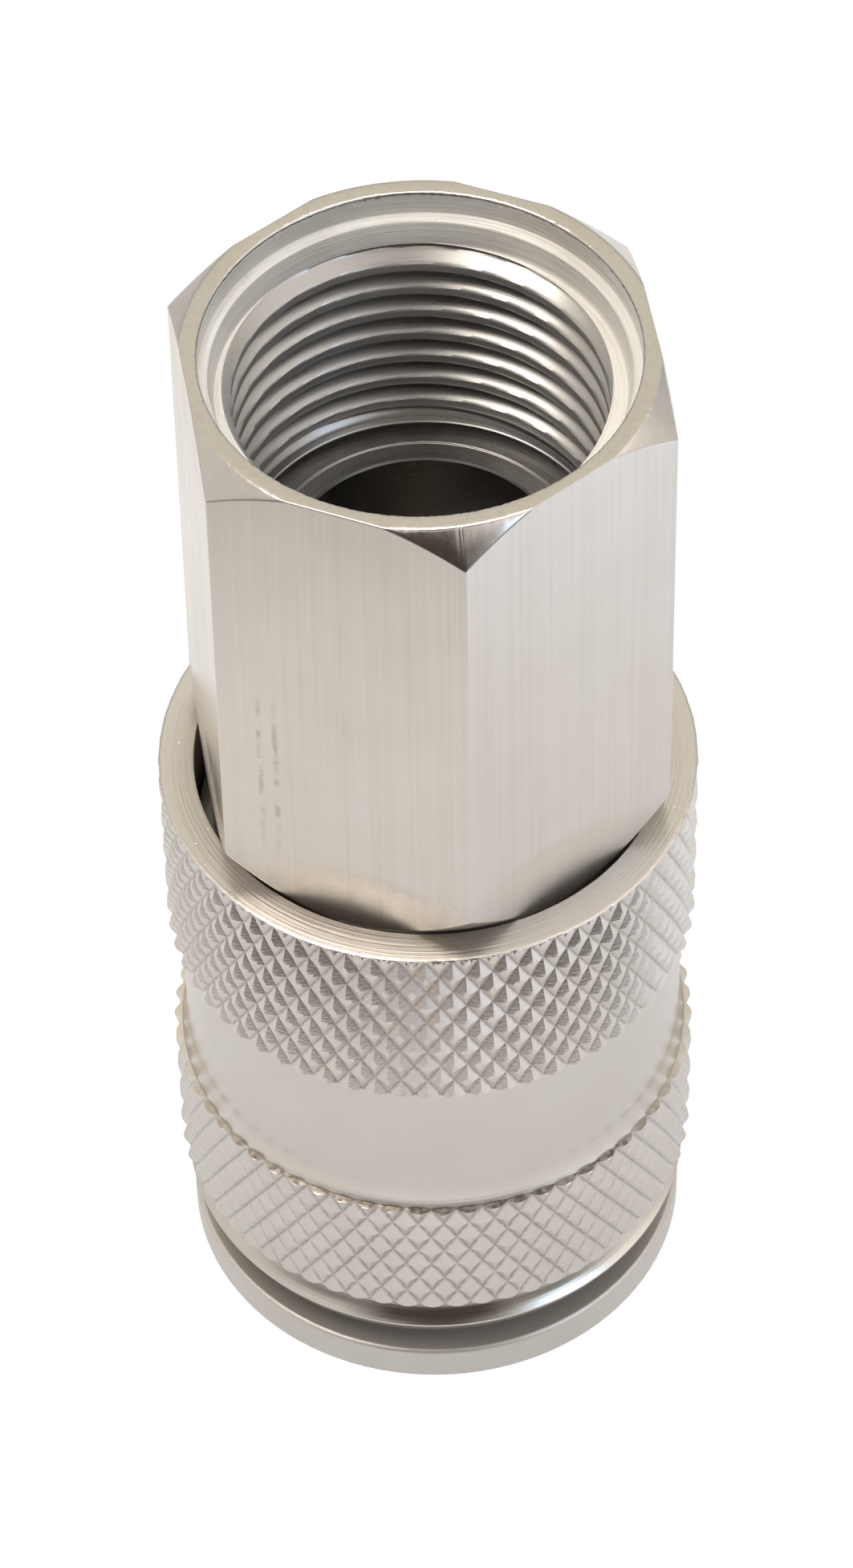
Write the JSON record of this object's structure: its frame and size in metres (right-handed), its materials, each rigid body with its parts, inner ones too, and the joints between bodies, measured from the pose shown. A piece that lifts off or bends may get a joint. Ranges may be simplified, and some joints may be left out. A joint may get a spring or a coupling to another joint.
{
  "type": "quick disconnect coupler",
  "caption": "Nickel-plated ball-lock quick disconnect coupler: hexagon with female pipe port, knurled release sleeve, front flange and spring-loaded shut-off valve.",
  "frame": {"origin": "centre of the coupler's front face, the face that the plug enters", "axes": "+Z along the coupler's axis, from the front face to the hexagon; the hexagon has a flat on +X and a corner on +Y"},
  "size_m": [0.0232, 0.0232, 0.0551],
  "materials": {
    "nickel_plate": "bright nickel plate over machined brass",
    "bare_brass": "bare turned brass",
    "ball_steel": "polished hardened steel ball",
    "spring_steel": "bright drawn spring wire",
    "washer_steel": "stamped and deburred stainless washer",
    "seal_rubber": "moulded nitrile rubber",
    "fibre": "pressed fibre gasket"
  },
  "bodies": {
    "coupler_body": {"thread_adaptor": "nickel_plate", "socket_body": "nickel_plate", "body_gasket": "fibre", "slider_o_ring": "seal_rubber", "valve_spring_seat": "washer_steel", "valve_spring": "spring_steel", "sleeve_spring": "spring_steel", "sleeve_spring_seat": "washer_steel"},
    "sleeve_carriage": {"sleeve_spring_washer": "washer_steel"},
    "sleeve": {"release_sleeve": "nickel_plate"},
    "valve": {"valve_slider": "bare_brass", "plug_seal": "seal_rubber", "plug_seal_retainer": "bare_brass", "valve_seal": "seal_rubber"},
    "ball_1": {"locking_ball_1": "ball_steel"},
    "ball_2": {"locking_ball_2": "ball_steel"},
    "ball_3": {"locking_ball_3": "ball_steel"},
    "ball_4": {"locking_ball_4": "ball_steel"},
    "ball_5": {"locking_ball_5": "ball_steel"},
    "ball_6": {"locking_ball_6": "ball_steel"}
  },
  "joints": [
    {"name": "sleeve_slide", "type": "slide", "parent": "coupler_body", "child": "sleeve_carriage", "axis": [0, 0, -1], "range_m": [0, 0.0013], "deforming": ["sleeve_spring"]},
    {"name": "sleeve_spin", "type": "hinge", "parent": "sleeve_carriage", "child": "sleeve", "pos_m": [0, 0, 0.017], "axis": [0, 0, 1], "continuous": true},
    {"name": "valve_push", "type": "slide", "parent": "coupler_body", "child": "valve", "axis": [0, 0, 1], "range_m": [0, 0.004], "deforming": ["valve_spring"]},
    {"name": "ball_1_in", "type": "slide", "parent": "coupler_body", "child": "ball_1", "axis": [-1, 0, 0], "range_m": [0, 0.000845]},
    {"name": "ball_2_in", "type": "slide", "parent": "coupler_body", "child": "ball_2", "axis": [-0.5, -0.866, 0], "range_m": [0, 0.000845]},
    {"name": "ball_3_in", "type": "slide", "parent": "coupler_body", "child": "ball_3", "axis": [0.5, -0.866, 0], "range_m": [0, 0.000845]},
    {"name": "ball_4_in", "type": "slide", "parent": "coupler_body", "child": "ball_4", "axis": [1, 0, 0], "range_m": [0, 0.000845]},
    {"name": "ball_5_in", "type": "slide", "parent": "coupler_body", "child": "ball_5", "axis": [0.5, 0.866, 0], "range_m": [0, 0.000845]},
    {"name": "ball_6_in", "type": "slide", "parent": "coupler_body", "child": "ball_6", "axis": [-0.5, 0.866, 0], "range_m": [0, 0.000845]}
  ],
  "couplings": [
    {"joint": "valve_push", "follows": "sleeve_slide", "ratio": 3.0769},
    {"joint": "ball_1_in", "follows": "sleeve_slide", "ratio": 0.65},
    {"joint": "ball_2_in", "follows": "sleeve_slide", "ratio": 0.65},
    {"joint": "ball_3_in", "follows": "sleeve_slide", "ratio": 0.65},
    {"joint": "ball_4_in", "follows": "sleeve_slide", "ratio": 0.65},
    {"joint": "ball_5_in", "follows": "sleeve_slide", "ratio": 0.65},
    {"joint": "ball_6_in", "follows": "sleeve_slide", "ratio": 0.65}
  ]
}
